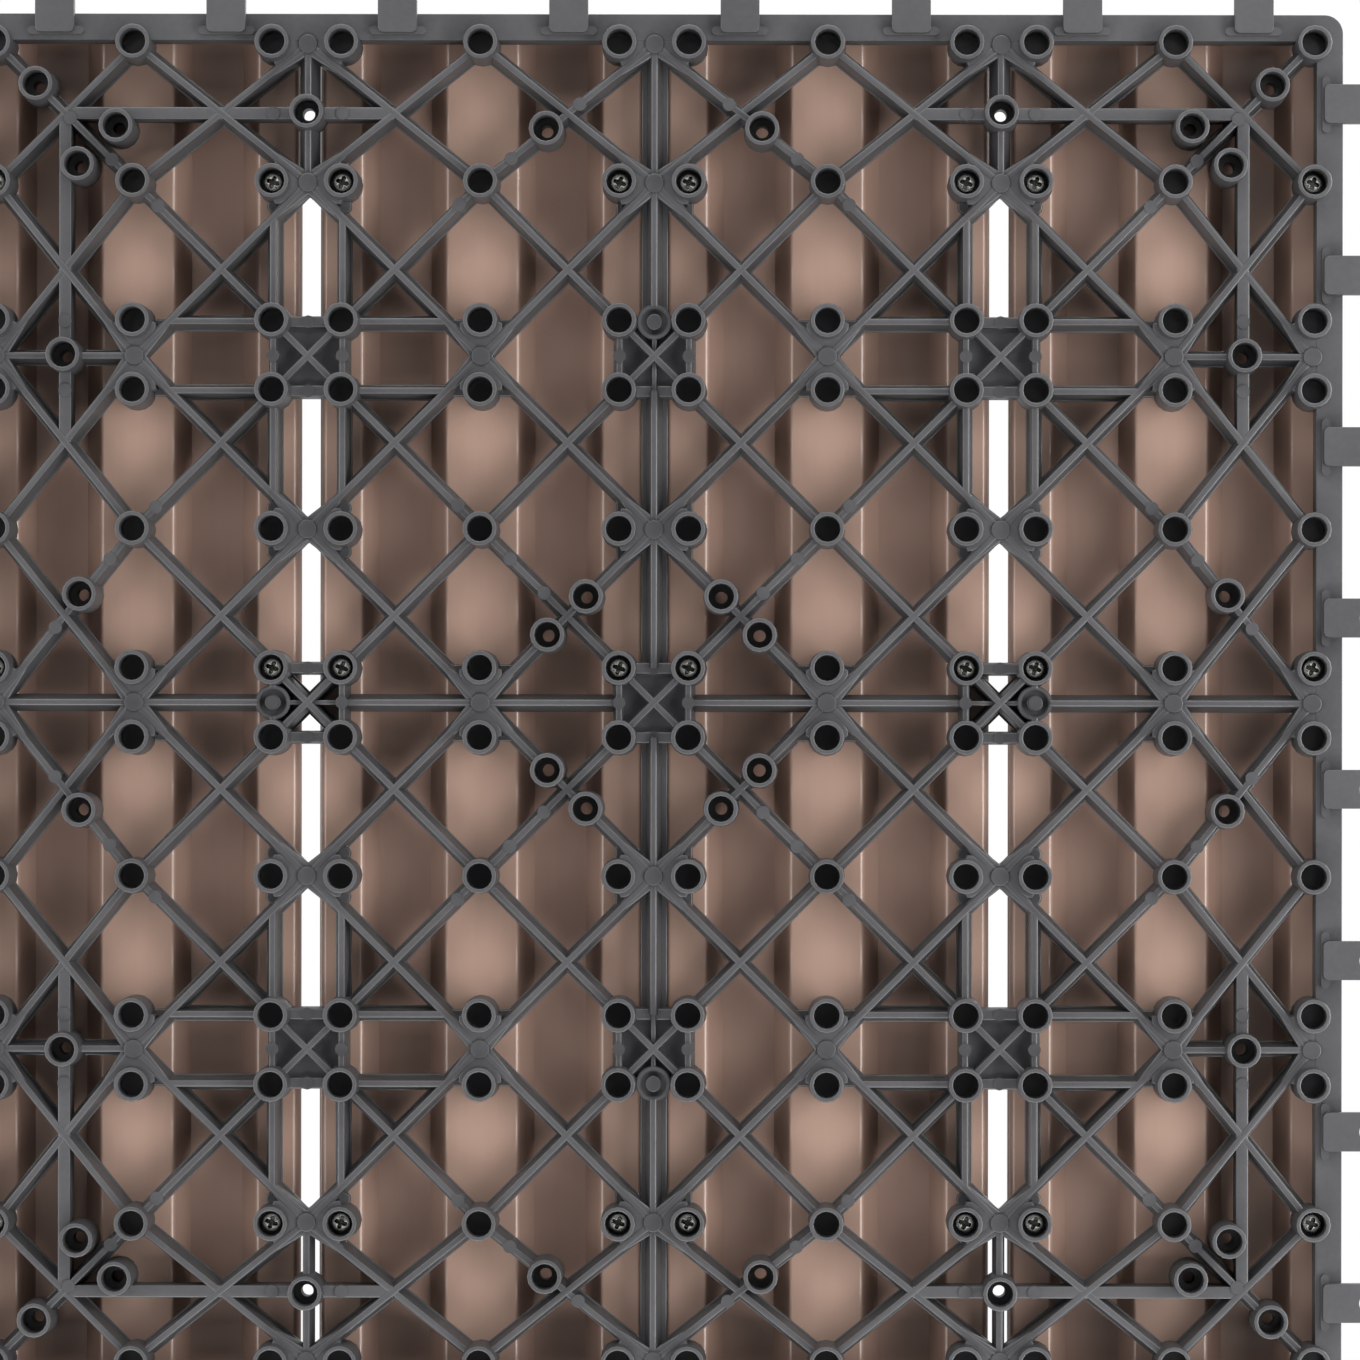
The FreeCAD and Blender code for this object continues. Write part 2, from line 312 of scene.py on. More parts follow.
# Bore cutters: what is taken out of every rib, web and band where a foot or a gate well is hollow.
# Their radii end inside the walls of the feet and wells, so that the cuts don't show.
cutter_radius = 3.25 * mm
pilot_cutter_radius = 1.9 * mm
cutter_low = 3 * mm
cutter_excess = 0.2 * mm
cutter_high = bore_depth + cutter_excess
gate_radius = 3.8 * mm
gate_wall = 0.9 * mm
gate_floor = 7.0 * mm
gate_reach = outer_corner + pair_offset
gates = [at(x, y) for x, y in ((gate_reach, 0), (-gate_reach, 0), (0, gate_reach), (0, -gate_reach))]
blind = stepped_post("blind", cutter_radius, cutter_low, cutter_high)
through = stepped_post(
    "through", cutter_radius, cutter_low, cutter_high, pilot_cutter_radius, seat_z + mm
)
cup = stepped_post("cup", gate_radius - gate_wall / 2, cutter_low, gate_floor + gate_wall / 2)
tools = ((blind, closed_feet), (through, open_feet), (cup, gates))


def hollow(part, near):
    """Takes the bores whose middle passes the test out of a part."""
    into = part.matrix_world.inverted()
    for tool, spots in tools:
        for spot in spots:
            if near(into @ spot.translation):
                tool.matrix_world = spot
                cut(part, tool)


def hollowed(parts):
    """Takes the bores out of a list of parts, each where its own bounds come near."""
    for part in parts:
        corners = [vertex.co for vertex in part.data.vertices]
        low_x = min(corner.x for corner in corners) - cutter_radius / part.scale.x
        high_x = max(corner.x for corner in corners) + cutter_radius / part.scale.x
        high_y = max(corner.y for corner in corners) + cutter_radius
        hollow(part, lambda spot: low_x < spot.x < high_x and abs(spot.y) < high_y)
    return parts


# Diagonal ribs: the same moulding. Each run is drafted, with a softly rounded free edge below and a
# thin flange against the slats; small round ejector marks stand on them near the feet.
rib_z = 5 * mm
rib_edge = 1.5 * mm
rib_base = 2.7 * mm
rib_round = 0.35 * mm
rib_gap = 0.3 * mm
rib_high = seat_z - rib_gap
flange_width = 3.5 * mm
flange_height = 0.6 * mm
mark_radius = 1.45 * mm
mark_rise = 0.2 * mm
mark_sides = 12
# Where the ejector marks stand, in mm from the middle, mirrored about the axes or also the diagonals.
corner_marks = ((42.4, 42.6), (31.1, 31.1), (23.7, 23.7), (107.4, 107.4), (117.4, 117.4), (126.4, 126.4))
side_marks = ((107.8, 42.2), (117.7, 31.0), (129.5, 16.2))


def bar(name, edge_width, base_width, low, high):
    """A drafted bar one metre long along X, its narrow face below with rounded edges."""
    piece = block(name, (-0.5, -base_width / 2, low), (0.5, base_width / 2, high))
    edit(piece)
    pick(piece, "faces", downward)
    bpy.ops.transform.resize(value=(1, edge_width / base_width, 1))
    pick(piece, "edges", lambda place, way: abs(way.x) > lined_up and place.z < (low + high) / 2)
    bpy.ops.mesh.bevel(offset=min(rib_round, (high - low) / 2), segments=2)
    close_edit()
    return piece


def run(x1, y1, x2, y2, level=0):
    """The matrix that lays a one-metre bar between two places on the tile."""
    turn = math.degrees(math.atan2(y2 - y1, x2 - x1))
    place = at((x1 + x2) / 2, (y1 + y2) / 2, level * level_step, turn)
    return place @ Matrix.Diagonal((math.hypot(x2 - x1, y2 - y1), 1, 1, 1))


places = [place for place, offsets, kind in columns()]
inner = places[1:-1]
diagonals = []
for shift in range(2 - len(inner), len(inner) - 1):
    first = max(0, -shift)
    last = min(len(inner), len(inner) - shift) - 1
    for sign in (-1, 1):
        diagonals.append(
            run(
                inner[first],
                sign * inner[first + shift],
                inner[last],
                sign * inner[last + shift],
                level=sign,
            )
        )
for sign in (-1, 1):
    near = sign * outer_middle
    far = sign * rim
    for index in range(len(places) - 1):
        low, high = places[index], places[index + 1]
        diagonals.append(run(low, near, high, far, level=2))
        diagonals.append(run(low, far, high, near, level=-2))
        if 0 < index < len(places) - 2:
            diagonals.append(run(near, low, far, high, level=3))
            diagonals.append(run(far, low, near, high, level=-3))
marks = []
for x, y in corner_marks:
    marks += fourfold(x * mm, y * mm)
for x, y in side_marks:
    marks += eightfold(x * mm, y * mm)
rib = bar("rib", rib_edge, rib_base, rib_z, rib_high)
flange = bar("flange", flange_width, flange_width, seat_z - flange_height, seat_z - 5 * level_step)
mark = post("mark", mark_radius, rib_z - mark_rise, seat_z - mm, mark_sides)
runs = hollowed(copies(rib, diagonals) + copies(flange, diagonals))
diagonal_ribs = join("diagonal_ribs", runs + copies(mark, [at(x, y) for x, y in marks]))

# Straight ribs: the same moulding. Two spines cross in the middle of the tile, one of them on a flat
# strip, and guard ribs run out from the four outer groups of feet. Short ribs reach the rim, with a
# wider base at the front than elsewhere.
spine_base = 3.8 * mm
rim_spine_base = 4.5 * mm
strip_width = 5.8 * mm
strip_thickness = 1.2 * mm
low_rib_z = 6.4 * mm
low_rib_edge = 1.1 * mm
short_ribs = []
for x, y in fourfold(outer_corner, outer_corner):
    for side in (-pair_offset, pair_offset):
        for way in (-1, 1):
            start, end = way * pair_offset, way * (half_cell - pair_offset)
            short_ribs.append(run(x + start, y + side, x + end, y + side, level=4))
            short_ribs.append(run(x + side, y + start, x + side, y + end, level=4))
for across, side in fourfold(outer_corner, 1):
    short_ribs.append(run(side * outer_middle, across, side * rim, across, level=5))
spines = []
low_ribs = []
past_gate = gate_reach + gate_radius - gate_wall
before_group = outer_corner - pair_offset
stops = (-rim, -past_gate, -before_group, -pair_offset, pair_offset, before_group, past_gate, rim)
for index in range(0, len(stops), 2):
    spines.append(run(0, stops[index], 0, stops[index + 1], level=4))
    spines.append(run(stops[index], 0, stops[index + 1], 0, level=5))
# Between a gate well and the group of feet next to it, the rib is a low one.
for index in (1, 5):
    low_ribs.append(run(0, stops[index], 0, stops[index + 1]))
    low_ribs.append(run(stops[index], 0, stops[index + 1], 0))
front_spines = []
back_spines = []
for across in (-outer_corner, outer_corner):
    front_spines.append(run(across, -outer_middle, across, -rim, level=5))
    back_spines.append(run(across, outer_middle, across, rim, level=5))
rim_spine = bar("rim_spine", rib_edge, rim_spine_base, rib_z, rib_high)
spine = bar("spine", rib_edge, spine_base, rib_z, rib_high)
low_rib = bar("low_rib", low_rib_edge, low_rib_edge, low_rib_z, rib_high)
strip = bar("strip", strip_width, strip_width, seat_z - strip_thickness, seat_z - level_step)
straight_ribs = join(
    "straight_ribs",
    hollowed(
        copies(rib, short_ribs)
        + copies(flange, short_ribs)
        + copies(spine, spines)
        + copies(rim_spine, front_spines)
        + copies(rib, back_spines)
        + copies(low_rib, low_ribs)
        + copies(strip, [run(0, -rim, 0, rim)])
    ),
)

# Straps: straight-sided ties of the same plastic, moulded between the rib crossings next to the rim.
# Each carries a foot, with an ejector mark on both sides of it.
strap_width = 2.7 * mm
strap_start = outer_corner - quarter_cell
strap_mark = 7.5 * mm
ties = []
strap_marks = eightfold(outer_corner + strap_mark, outer_crossing) + eightfold(
    outer_corner - strap_mark, outer_crossing
)
for end, line in fourfold(outer_crossing, outer_crossing):
    begin = math.copysign(strap_start, end)
    ties.append(run(begin, line, end, line, level=6))
    ties.append(run(line, begin, line, end, level=7))
strap = bar("strap", strap_width, strap_width, rib_z, rib_high)
straps = join(
    "straps", hollowed(copies(strap, ties)) + copies(mark, [at(x, y) for x, y in strap_marks])
)

# Group webs: in every group of four feet a web joins each foot to the next, two of them set deeper.
# A thin floor lies between them, but for the two groups left and right of the middle one.
web_edge = 1.35 * mm
web_base = 2.9 * mm
low_web_edge = 2.4 * mm
low_web_drop = 2 * mm
low_web_z = rib_z + low_web_drop
web_mark_radius = 1.4 * mm
web_mark_depth = 3 * mm
floor_low = 8.2 * mm
floor_thickness = 1.2 * mm
webs = []
low_webs = []
web_marks = []
low_web_marks = []
floors = []
corners = [place for place, offsets, kind in columns() if kind == "corner"]
for x in corners:
    for y in corners:
        for side in (-pair_offset, pair_offset):
            webs.append(run(x + side, y - pair_offset, x + side, y + pair_offset, level=8))
            low_webs.append(run(x - pair_offset, y + side, x + pair_offset, y + side))
            web_marks.append(at(x + side, y))
            low_web_marks.append(at(x, y + side, low_web_drop))
        if x == 0 or y != 0:
            floors.append(run(x - pair_offset, y, x + pair_offset, y))
web = bar("web", web_edge, web_base, rib_z, rib_high)
low_web = bar("low_web", low_web_edge, web_base, low_web_z, rib_high)
web_mark = post("web_mark", web_mark_radius, rib_z - mark_rise, seat_z - web_mark_depth, mark_sides)
floor_plate = bar(
    "floor_plate", 2 * pair_offset, 2 * pair_offset, floor_low, floor_low + floor_thickness
)
group_webs = join(
    "group_webs",
    hollowed(copies(web, webs) + copies(low_web, low_webs) + copies(floor_plate, floors))
    + copies(web_mark, web_marks + low_web_marks),
)

# Pair plates: where two feet flank a node, a plate fills the space between them and the ribs, which
# widen toward the node, and a round boss stands on it. Low round ears flank the feet along the two
# outer slits between the slats, but not toward the rim.
plate_near = 1.5 * mm
plate_half_width = 5.3 * mm
plate_reach = 7.5 * mm
plate_corner = 1.5 * mm
seat_plate_reach = 8.4 * mm
gusset_reach = 11 * mm
gusset_width = 4.2 * mm
boss_radius = 2.05 * mm
boss_rise = 0.5 * mm
boss_round = 0.25 * mm
boss_sides = 20
ear_radius = 1.65 * mm
ear_low = 9.5 * mm
ear_along = 7.6 * mm
ear_across = 4.7 * mm
ear_round = 0.45 * mm
ear_sides = 12


def wedge(name, near, far, reach, low, high, corner):
    """A plate about the node that widens along X from one half width to another."""
    piece = block(name, (0, -far, low), (reach, far, high))
    edit(piece)
    pick(piece, "faces", lambda place, normal: normal.x < -lined_up)
    bpy.ops.transform.resize(value=(1, near / far, 1))
    if corner:
        pick(piece, "edges", lambda place, way: abs(way.z) > lined_up and place.x > reach / 2)
        bpy.ops.mesh.bevel(offset=corner, segments=2)
    pick(
        piece, "edges", lambda place, way: abs(way.z) < 1 - lined_up and place.z < low + rib_round / 2
    )
    bpy.ops.mesh.bevel(offset=rib_round, segments=2)
    close_edit()
    return piece


def neighbours(x, y):
    """The nodes diagonally next to a node."""
    column, row = places.index(x), places.index(y)
    steps = [(column + a, row + b) for a in (-1, 1) for b in (-1, 1)]
    return [(places[a], places[b]) for a, b in steps if 0 <= a < len(places) and 0 <= b < len(places)]


fills = []
seat_fills = []
bosses = []
ears = []
flares = []
for x, x_offsets, x_kind in columns():
    for y, y_offsets, y_kind in columns():
        if (x_kind == "corner") != (y_kind == "corner"):
            turn = 0 if x_kind == "corner" else 90
            fills += [at(x, y, 0, turn), at(x, y, 0, turn + 180)]
            if "rim" not in (x_kind, y_kind):
                seat_fills += [at(x, y, 0, turn), at(x, y, 0, turn + 180)]
            bosses.append(at(x, y))
            for next_x, next_y in neighbours(x, y):
                way = math.degrees(math.atan2(next_y - y, next_x - x))
                flares.append(at(x, y, 10 * level_step, way))
for x, y in fourfold(outer_corner, half_cell) + fourfold(outer_corner, outer_middle):
    for along, across in fourfold(ear_along, ear_across):
        if abs(y + across) < outer_middle:
            ears.append(at(x + along, y + across))
fill_low = rib_z + 6 * level_step
fill = wedge("fill", plate_near, plate_half_width, plate_reach, fill_low, seat_z - mm, plate_corner)
seat_low = seat_z - floor_thickness
seat_high = seat_z - 6 * level_step
seat_fill = wedge("seat_fill", plate_near, seat_plate_reach, seat_plate_reach, seat_low, seat_high, 0)
flare = wedge("flare", gusset_width / 2, rib_edge / 2, gusset_reach, rib_z, seat_z - mm, 0)
boss = post("boss", boss_radius, rib_z - boss_rise, seat_z - mm, boss_sides)
soften(boss, boss_round)
ear = post("ear", ear_radius, ear_low, seat_z - mm, ear_sides)
soften(ear, ear_round)
plates = hollowed(copies(fill, fills) + copies(seat_fill, seat_fills) + copies(flare, flares))
pair_plates = join("pair_plates", plates + copies(boss, bosses) + copies(ear, ears))
discard(rib, flange, mark, spine, rim_spine, low_rib, strip, strap, web, low_web, web_mark, floor_plate)
discard(fill, seat_fill, flare, boss, ear)

# Edge band: the flat frame round the grid, with rounded corners, that the slat ends rest on. It is
# moulded in one with the ribs, and the bores of the feet at the rim reach into it.
band_width = 5.7 * mm
corner_radius = 4 * mm
opening_radius = 1 * mm
band_round = 0.3 * mm


def round_corners(piece, radius, segments, test):
    """Rounds the upright edges that pass the test."""
    edit(piece)
    pick(piece, "edges", lambda place, way: abs(way.z) > lined_up and test(place))
    bpy.ops.mesh.bevel(offset=radius, segments=segments)
    close_edit()


def square(name, half, low, high, radius):
    """A square plate round the middle of the tile, with rounded corners."""
    piece = block(name, (-half, -half, low), (half, half, high))
    round_corners(piece, radius, segments=8, test=lambda place: True)
    piece.location = (middle.x, middle.y, 0)
    return settle(piece, name)


edge_band = square("edge_band", half_tile, rib_z, seat_z - 4 * level_step, corner_radius)
opening = square("opening", half_tile - band_width, 0, seat_z + mm, opening_radius)
cut(edge_band, opening)
soften(edge_band, band_round)
inner_edge = half_tile - band_width - cutter_radius
hollow(edge_band, lambda spot: max(abs(spot.x - middle.x), abs(spot.y - middle.y)) > inner_edge)
crisp(edge_band)
discard(opening, blind, through, cup)

# Loops: flat eyes on two sides of the tile that reach under the next one. Each hangs from a root
# below the band, with a short round-ended bar across it.
link_count = 8
link_end_inset = 19.5 * mm
link_pitch = 2 * (half_tile - link_end_inset) / (link_count - 1)
loop_width = 8.4 * mm
loop_bottom = 1.7 * mm
loop_top = 4.7 * mm
loop_overlap = 4.3 * mm
loop_reach = grid_high.x - middle.x - half_tile
loop_hole_radius = 2.2 * mm
root_corner = 1.1 * mm
cross_length = 12.2 * mm
cross_width = 1.8 * mm
cross_height = 1.2 * mm
cross_inset = 3.7 * mm
edge_round = 0.25 * mm
hole_sides = 24
# The share of the half width that rounds an end, just short of where its two corners would meet.
end_share = 0.998
half_loop = loop_width / 2
eye = block("eye", (-half_loop, -loop_reach, loop_bottom), (half_loop, loop_overlap, loop_top))
round_corners(eye, half_loop * end_share, segments=8, test=lambda place: place.y < 0)
round_corners(eye, root_corner, segments=3, test=lambda place: place.y > 0)
core = post("core", loop_hole_radius, 0, seat_z, hole_sides)
core.location.y = half_loop - loop_reach
cut(eye, core)
soften(eye, edge_round)
root_half = half_loop - edge_round
root = block(
    "root", (-root_half, 0, loop_top - mm), (root_half, loop_overlap - edge_round, rib_z + mm)
)
cross = block(
    "cross",
    (-cross_length / 2, cross_inset - cross_width / 2, rib_z - cross_height),
    (cross_length / 2, cross_inset + cross_width / 2, rib_z + mm),
)
round_corners(cross, cross_width / 2 * end_share, segments=4, test=lambda place: True)
soften(cross, edge_round)
loop = join("loop", [eye, root, cross])
along = [(index - (link_count - 1) / 2) * link_pitch for index in range(link_count)]
loops = join(
    "loops",
    copies(loop, [at(step, -half_tile) for step in along] + [at(half_tile, step, 0, 90) for step in along]),
)
discard(loop, core)

# Pegs: plain round studs under the band on the other two sides, at the pitch of the loops that
# they drop into.
peg_inset = 3.75 * mm
peg_radius = 1.9 * mm
peg_sides = 20
peg = post("peg", peg_radius, loop_bottom, rib_z + mm, peg_sides)
soften(peg, edge_round)
peg_line = half_tile - peg_inset
pegs = join(
    "pegs", copies(peg, [at(step, peg_line) for step in along] + [at(-peg_line, step) for step in along])
)
discard(peg)

# Gate wells: the round cups where the plastic was fed in, each with the stub of its gate. They stand
# on the spines, between the two outer feet of four groups.
gate_lip = 5.4 * mm
stub_radius = 1.75 * mm
stub_height = 1.1 * mm
well_sides = 24
stub_sides = 16
well = post("well", gate_radius, gate_lip, seat_z - 5 * level_step, well_sides)
edit(well)
pick(well, "faces", downward)
bpy.ops.mesh.inset(thickness=gate_wall)
bpy.ops.mesh.extrude_region_move(TRANSFORM_OT_translate={"value": (0, 0, gate_floor - gate_lip)})
close_edit()
soften(well, edge_round, segments=1)
stub = post("stub", stub_radius, gate_floor - stub_height, seat_z - mm, stub_sides)
soften(stub, edge_round)
gate = join("gate", [well, stub])
gate_wells = join("gate_wells", copies(gate, gates))
discard(gate)

# Dark grey plastic of the grid: a faintly uneven mould finish with a soft sheen on the lower faces,
# matter on the drafted sides that slid along the mould. The drafted sides are also painted darker,
# as painted shade.
grid_dark = (0.07, 0.07, 0.074, 1)
grid_light = (0.122, 0.122, 0.128, 1)
shaded_side_dark = (0.042, 0.042, 0.044, 1)
shaded_side_light = (0.072, 0.072, 0.076, 1)
grid_roughness = 0.22
side_roughness = 0.3
unevenness = 0.1
broad_share = 0.7


class Value:
    """A shader output. Sums, differences and products of it add the Math nodes."""

    def __init__(self, shader, socket):
        self.shader = shader
        self.socket = socket

    def math(self, operation, first, second):
        return self.shader.add("ShaderNodeMath", {"operation": operation}, {0: first, 1: second})

    def __add__(self, other):
        return self.math("ADD", self, other)

    def __sub__(self, other):
        return self.math("SUBTRACT", self, other)

    def __rsub__(self, other):
        return self.math("SUBTRACT", other, self)

    def __mul__(self, other):
        return self.math("MULTIPLY", self, other)

    __radd__ = __add__
    __rmul__ = __mul__


class Shader:
    """The nodes of a material or a world, added one at a time."""

    def __init__(self, owner):
        owner.use_nodes = True
        self.owner = owner
        self.tree = owner.node_tree
        self.tree.nodes.clear()

    def add(self, kind, settings=None, inputs=None, output=0):
        """Adds a node, sets it up, feeds its inputs and gives one of its outputs."""
        node = self.tree.nodes.new(kind)
        for key, value in (settings or {}).items():
            setattr(node, key, value)
        for key, value in (inputs or {}).items():
            if isinstance(value, Value):
                self.tree.links.new(value.socket, node.inputs[key])
            else:
                node.inputs[key].default_value = value
        return Value(self, node.outputs[output]) if node.outputs else None

    def place(self, scale=(1, 1, 1)):
        """Object coordinates, stretched by a scale."""
        spot = self.add("ShaderNodeTexCoord", output="Object")
        return self.add("ShaderNodeMapping", {}, {"Vector": spot, "Scale": scale})

    def noise(self, vector, scale, detail):
        return self.add("ShaderNodeTexNoise", {}, {"Vector": vector, "Scale": scale, "Detail": detail})

    def mix(self, amount, first, second):
        return self.add("ShaderNodeMix", {"data_type": "RGBA"}, {0: amount, 6: first, 7: second}, 2)

    def ramp(self, value, low, high):
        """0 up to low, 1 from high on."""
        return self.add("ShaderNodeMapRange", {}, {"Value": value, "From Min": low, "From Max": high})

    def height(self):
        return self.add("ShaderNodeSeparateXYZ", {}, {0: self.place()}, "Z")

    def facing(self, axis):
        """How far the surface faces along an axis, 0 to 1."""
        normal = self.add("ShaderNodeNewGeometry", output="Normal")
        part = self.add("ShaderNodeSeparateXYZ", {}, {0: normal}, axis)
        return self.add("ShaderNodeMath", {"operation": "ABSOLUTE"}, {0: part})

    def surface(self, inputs):
        shine = self.add("ShaderNodeBsdfPrincipled", {}, inputs)
        self.add("ShaderNodeOutputMaterial", {}, {"Surface": shine})
        return self.owner


def dress(piece, material, node):
    """Gives a piece its material and puts it in the place of a CAD node."""
    piece.data.materials.clear()
    piece.data.materials.append(material)
    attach(piece, "root")
    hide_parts(node)


plastic = Shader(bpy.data.materials.new("grid_plastic"))
fine = plastic.noise(plastic.place(), scale=900, detail=2)
broad = plastic.noise(plastic.place(), scale=35, detail=2)
grain = plastic.add("ShaderNodeBump", {}, {"Strength": 0.15, "Distance": 0.0001, "Height": fine})
mottle = broad * broad_share + fine * (1 - broad_share)
face = plastic.mix(mottle, grid_dark, grid_light)
# Faces that look sideways take the darker side colours: painted shade on the drafted sides.
shaded_flank = plastic.mix(mottle, shaded_side_dark, shaded_side_light)
sides = plastic.ramp(plastic.facing("Z"), low=0.6, high=0.15)
grid_plastic = plastic.surface(
    {
        "Base Color": plastic.mix(sides, face, shaded_flank),
        "Roughness": fine * unevenness
        + broad * unevenness
        + sides * side_roughness
        + (grid_roughness - unevenness),
        "Specular IOR Level": 0.55,
        "Normal": grain,
    }
)
grid_pieces = (
    feet, diagonal_ribs, straight_ribs, straps, group_webs, pair_plates, edge_band, loops, pegs, gate_wells
)
for piece in grid_pieces:
    dress(piece, grid_plastic, "support_grid")

# Slats: extruded wood-plastic boards. Three ridges leave two shallow grooves on the hidden side. The
# lower faces of the ridges are painted lighter than the rest of the board, as painted light, and the
# darker board colour in the grooves stands as painted shade. The long edges are chamfered below and
# rounded above.
lit_ridge_light = (0.45, 0.298, 0.235, 1)
lit_ridge_dark = (0.375, 0.243, 0.189, 1)
board_and_groove_shade_light = (0.31, 0.2, 0.158, 1)
board_and_groove_shade_dark = (0.245, 0.156, 0.121, 1)
slat_round = 0.5 * mm
slat_roughness = 0.38
slat_gloss = 0.7
speck_roughness = 0.1
top_roughness = 0.2
upright_roughness = 0.4
streak_share = 0.9
ramp_edge = 0.1 * mm
top_depth = 0.8 * mm
lit_ridge_depth = 0.9 * mm
composite = Shader(bpy.data.materials.new("slat_composite"))
lengthwise = composite.place(scale=(1, 0.06, 1))
streaks = composite.noise(lengthwise, scale=420, detail=3)
bands = composite.noise(lengthwise, scale=60, detail=2)
specks = composite.noise(composite.place(), scale=2400, detail=2)
top = composite.ramp(composite.height(), left_high.z - top_depth, left_high.z - ramp_edge)
below = composite.ramp(composite.height(), left_low.z + ramp_edge, left_low.z + lit_ridge_depth)
upright = composite.ramp(composite.facing("X"), low=0.85, high=0.97)
mottle = (bands + streaks) * 0.5
# The ridges' lower faces get a lighter colour than the rest: painted light on the ridges, painted shade in
# the grooves.
lit_ridge = composite.mix(mottle, lit_ridge_dark, lit_ridge_light)
board_and_groove_shade = composite.mix(mottle, board_and_groove_shade_dark, board_and_groove_shade_light)
relief = streaks * top * streak_share + specks * (1 - streak_share)
grain = composite.add("ShaderNodeBump", {}, {"Strength": 0.3, "Distance": 0.0004, "Height": relief})
slat_composite = composite.surface(
    {
        "Base Color": composite.mix(below, lit_ridge, board_and_groove_shade),
        "Roughness": specks * speck_roughness
        + top * top_roughness
        + upright * upright_roughness
        + (slat_roughness - speck_roughness / 2),
        "Normal": grain,
        "Coat Weight": (1 - upright) * slat_gloss,
        "Coat Roughness": 0.12,
    }
)
half_slat = (left_high.x - left_low.x) / 2
ridge_half = 7.75 * mm
edge_ridge = 8.1 * mm
chamfer_width = 1.05 * mm
chamfer_height = 1.5 * mm
groove_depth = 4.4 * mm
wall_run = 3.6 * mm
overlap = 0.5 * mm
slat_edge_round = 1.5 * mm
near_end = left_low.y
far_end = left_high.y
ridge_top = seat_z + groove_depth + overlap
slope = wall_run * (groove_depth + overlap) / groove_depth


def ridge(name, low_x, high_x, keep_x, foot_width):
    """A ridge under the slat, drafted so that its lower face is narrower about one line. One that
    keeps an upright side has its long lower edge chamfered there."""
    piece = block(name, (low_x, near_end + level_step, seat_z), (high_x, far_end - level_step, ridge_top))
    edit(piece)
    pick(piece, "faces", downward)
    narrow = foot_width / (high_x - low_x)
    bpy.ops.transform.resize(value=(narrow, 1, 1), center_override=(keep_x, 0, seat_z))
    if keep_x:
        side = math.copysign(1, keep_x)
        pick(
            piece,
            "edges",
            lambda place, way: abs(way.y) > lined_up
            and place.z < seat_z + overlap
            and abs(place.x - keep_x) < overlap,
        )
        bpy.ops.mesh.bevel(offset=chamfer_height, segments=1)
        pick(
            piece,
            "edges",
            lambda place, way: abs(way.y) > lined_up
            and place.z < seat_z + overlap
            and abs(place.x - keep_x) < chamfer_height + overlap,
        )
        bpy.ops.transform.translate(value=(side * (chamfer_height - chamfer_width), 0, 0))
    pick(piece, "edges", lambda place, way: abs(way.y) > lined_up and place.z < seat_z + overlap)
    bpy.ops.mesh.bevel(offset=slat_round, segments=4)
    close_edit()
    return piece


body = block("body", (-half_slat, near_end, seat_z + groove_depth), (half_slat, far_end, left_high.z))
edit(body)
pick(body, "edges", lambda place, way: abs(way.y) > lined_up and place.z > left_high.z - overlap)
bpy.ops.mesh.bevel(offset=slat_edge_round, segments=5)
close_edit()
outer = half_slat - level_step
edge_width = edge_ridge + chamfer_width + slope
slat = join(
    "slat",
    [
        body,
        ridge("middle_ridge", -ridge_half - slope, ridge_half + slope, 0, 2 * ridge_half),
        ridge("left_ridge", -outer, edge_width - outer, -outer, edge_ridge + chamfer_width),
        ridge("right_ridge", outer - edge_width, outer, outer, edge_ridge + chamfer_width),
    ],
)
for name in ("left_outer_slat", "left_inner_slat", "right_inner_slat", "right_outer_slat"):
    low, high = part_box(name)
    board = copies(slat, [Matrix.Translation(((low.x + high.x) / 2, 0, 0))])[0]
    settle(board, name + "_board")
    dress(board, slat_composite, name)
discard(slat)

# Screws: zinc-plated steel screws, driven up through the feet into the slats. Each has a low dome for
# a head, deep in the bore of its foot, with a cross recess in it.
head_radius = 2.0 * mm
head_height = 4.6 * mm
head_dome = 1.7 * mm
head_flatness = 0.25
head_edge = 0.12 * mm
head_sides = 24
# Every face of the dome looks down by more than this share.
dome_tilt = 0.02
shank_radius = 1.15 * mm
shank_start = 0.1 * mm
shank_grip = 4 * mm
shank_sides = 12
recess_width = 1.15 * mm
recess_reach = 1.85 * mm
recess_depth = 1.6 * mm
recess_corner = 0.46 * mm
recess_turn = 20
recess_taper = (0.6, 0.7, 1)
shade_start = 0.45 * mm
shade_end = 0.7 * mm
steel_dark = (0.72, 0.72, 0.67, 1)
steel_light = (0.92, 0.92, 0.87, 1)
recess_shade_color = (0.12, 0.12, 0.11, 1)
steel_roughness = 0.18
scuff_roughness = 0.15
head_low = bore_depth - head_height
head = post("head", head_radius, head_low, bore_depth, head_sides)
edit(head)
pick(head, "faces", downward)
bpy.ops.mesh.bevel(offset=head_dome, segments=6)
pick(head, "faces", lambda place, normal: normal.z < -dome_tilt)
dome_high = head_low + head_dome
bpy.ops.transform.resize(value=(1, 1, head_flatness), center_override=(0, 0, dome_high))
close_edit()
head_z = dome_high - head_dome * head_flatness
